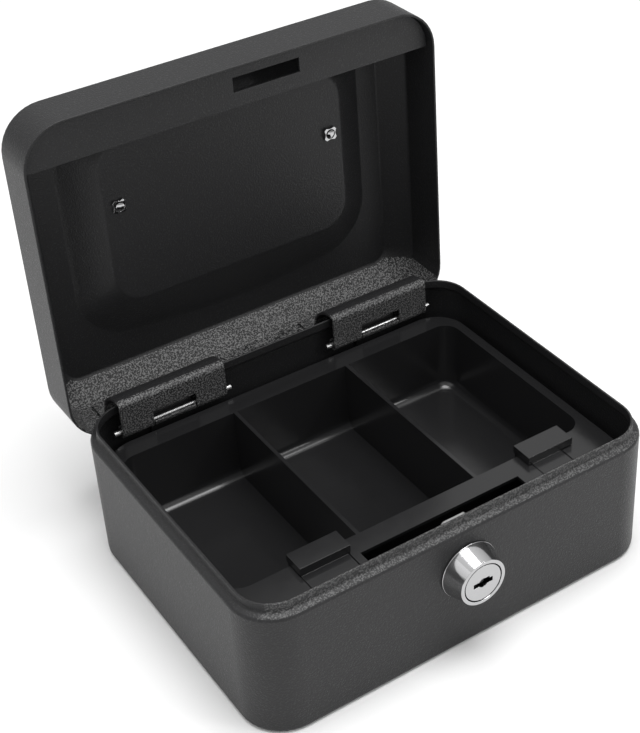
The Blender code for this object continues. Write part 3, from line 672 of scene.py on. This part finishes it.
# tray
tray = {
    "wall": 0.0012, "corner": 0.012, "divider": 0.0013, "edgeRound": 0.0003,
    "pocketFloor": 0.0124, "pocketCorner": 0.006, "fillet": 0.0036, "taper": (0.992, 0.985),
    "sideShelf": 0.0034, "rearShelf": 0.0075, "frontShelf": 0.0221,
    "leg": 0.006, "legInset": 0.009, "legCorner": 0.001,
    "cut": (-0.02825, 0.03275, -0.0403),  # left, right and rear of the long cut over the cam
    "tongueBack": 0.0067, "tongueSlice": 0.001, "gripGap": 0.0003, "gripRound": 0.0003,
}


# the X limits of the seat for a grip's tongue
def tongueSpan(side, values):
    points = [v.co for v in frame["nodes"]["tray_grip_" + side].data.vertices]
    front = min(p.y for p in points)
    near = [p.x for p in points if p.y < front + values["tongueSlice"]]
    return min(near) - values["gripGap"], max(near) + values["gripGap"]


def makeTray(values):
    low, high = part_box("tray")
    wall = values["wall"]
    plate = blockShape((low.x, low.y, high.z - wall), high, values["corner"], steps=10)
    piece = finishPiece("tray_finished", plate, "base", "plastic", ["tray"])
    middle = (low.x + high.x) / 2
    half = (high.x - low.x) / 2 - values["sideShelf"]
    front, rear = low.y + values["frontShelf"], high.y - values["rearShelf"]
    bottom = values["pocketFloor"] - wall
    basinLow = (middle - half - wall, front - wall, bottom)
    basinHigh = (middle + half + wall, rear + wall, high.z - wall / 2)
    lumps = [blockShape(basinLow, basinHigh, values["pocketCorner"] + wall, values["fillet"])]
    reach, legInset = values["leg"] / 2, values["legInset"]
    for x in (middle - half + legInset, middle + half - legInset):
        for y in (front + legInset, rear - legInset):
            legLow = (x - reach, y - reach, low.z)
            legHigh = (x + reach, y + reach, bottom + wall / 2)
            lumps.append(blockShape(legLow, legHigh, values["legCorner"]))
    cutWith(piece, lumps, "UNION")
    hollow = blockShape(
        (middle - half, front, values["pocketFloor"]), (middle + half, rear, high.z + wall),
        values["pocketCorner"], values["fillet"], values["taper"],
    )
    cutWith(piece, [hollow])
    pitch = (2 * half + values["divider"]) / 3
    reach = values["divider"] / 2
    dividers = []
    for x in (middle - pitch / 2, middle + pitch / 2):
        dividerLow = (x - reach, front - wall / 2, values["pocketFloor"] - wall / 2)
        dividers.append(blockShape(dividerLow, (x + reach, rear + wall / 2, high.z)))
    cutWith(piece, dividers, "UNION")
    cuts = [values["cut"]]
    for side in ("left", "right"):  # where the finger grips are let in
        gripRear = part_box("tray_grip_" + side)[1].y
        cuts.append((*tongueSpan(side, values), gripRear - values["tongueBack"]))
    tools = []
    for left, right, back in cuts:
        cutLow = (left, low.y - wall, high.z - 2 * wall)
        tools.append(blockShape(cutLow, (right, back, high.z + wall)))
    cutWith(piece, tools)
    softenEdges(piece, values["edgeRound"], steps=3, angle=50)


makeTray(tray)
for side in ("left", "right"):
    softCopy("tray_grip_" + side, tray["gripRound"], steps=3)
print("tray made")


# lock
lock = {
    "length": 0.0077, "faceRadius": 0.0084, "baseRadius": 0.01026,
    "barrel": (0.0084, 0.0066), "bore": 0.0070,  # the barrel's radius and length
    "plug": 0.0067, "plugInset": 0.0001, "plugGap": 0.0003,
    "tail": (0.003, 0.002), "screwHole": 0.0016,
    "keyway": (0.0072, 0.0017), "keyHole": 0.0017, "keyDepth": 0.006,
    "ward": (0.0002, 0.33, 0.9),  # where it starts, share of the keyway's width and height
    "soft": 0.0003, "edgeRound": 0.00008,
}


def makeLock(values):
    length, face, base = values["length"], values["faceRadius"], values["baseRadius"]
    barrel, barrelLength = values["barrel"]
    soft, bore = values["soft"], values["bore"]
    profile = [
        (bore, length - soft), (bore + soft / 2, length), (face - soft, length),
        (face - soft * 0.3, length - soft * 0.2), (face, length - soft),
        (base - soft / 2, soft * 1.6), (base, soft * 1.2), (base - soft / 3, soft),
        (barrel, soft), (barrel, -barrelLength), (bore, -barrelLength),
    ]
    shape = turnedShape(profile, lockPlace, closed=True)
    piece = finishPiece("lock_housing_finished", shape, "base", "chrome", ["lock_housing"])
    softenEdges(piece, values["edgeRound"], angle=30, flat=False)
    tail, tailLength = values["tail"]
    plug, screwHole = values["plug"], values["screwHole"]
    back, front = -barrelLength - values["plugGap"], length - values["plugInset"]
    profile = [
        (0, front), (plug - soft / 2, front), (plug, length - soft / 2),
        (plug, back), (tail, back), (tail, back - tailLength),
        (screwHole, back - tailLength), (screwHole, back + tailLength), (0, back + tailLength),
    ]
    shape = turnedShape(profile, lockPlace)
    piece = finishPiece("lock_plug_finished", shape, "key_plug", "chrome", ["lock_plug"])
    width, height = values["keyway"]
    deep, proud = length - values["keyDepth"], length + soft
    slot = blockShape((-width / 2, -height / 2, deep), (width / 2, height / 2, proud))
    slot.transform(lockPlace)
    wardStart, wardWidth, wardHeight = values["ward"]
    ward = blockShape((wardStart, 0, deep), (width * wardWidth, height * wardHeight, proud))
    ward.transform(lockPlace)
    hole = rodShape(values["keyHole"], deep, proud, lockPlace)
    cutWith(piece, [slot, ward, hole])
    softenEdges(piece, values["edgeRound"], flat=False)


makeLock(lock)
lockRounds = {"nut": 0.0003, "washer": 0.0001, "cam": 0.00015, "screw": 0.0001, "wafer": 0.0001}
for partName, width in lockRounds.items():
    softCopy("lock_" + partName, width)
print("lock made")


# handle and hinge pins
handle = {"postRound": 0.0002, "starRound": 0.00012, "bailRound": 0.0002}
pinRound = 0.0002
for side in ("left", "right"):
    softCopy("handle_post_" + side, handle["postRound"], flat=False)
    softCopy("handle_star_" + side, handle["starRound"])
    softCopy("hinge_pin_" + side, pinRound, flat=False)
softCopy("handle_bail", handle["bailRound"], angle=60, flat=False)
print("handle made")
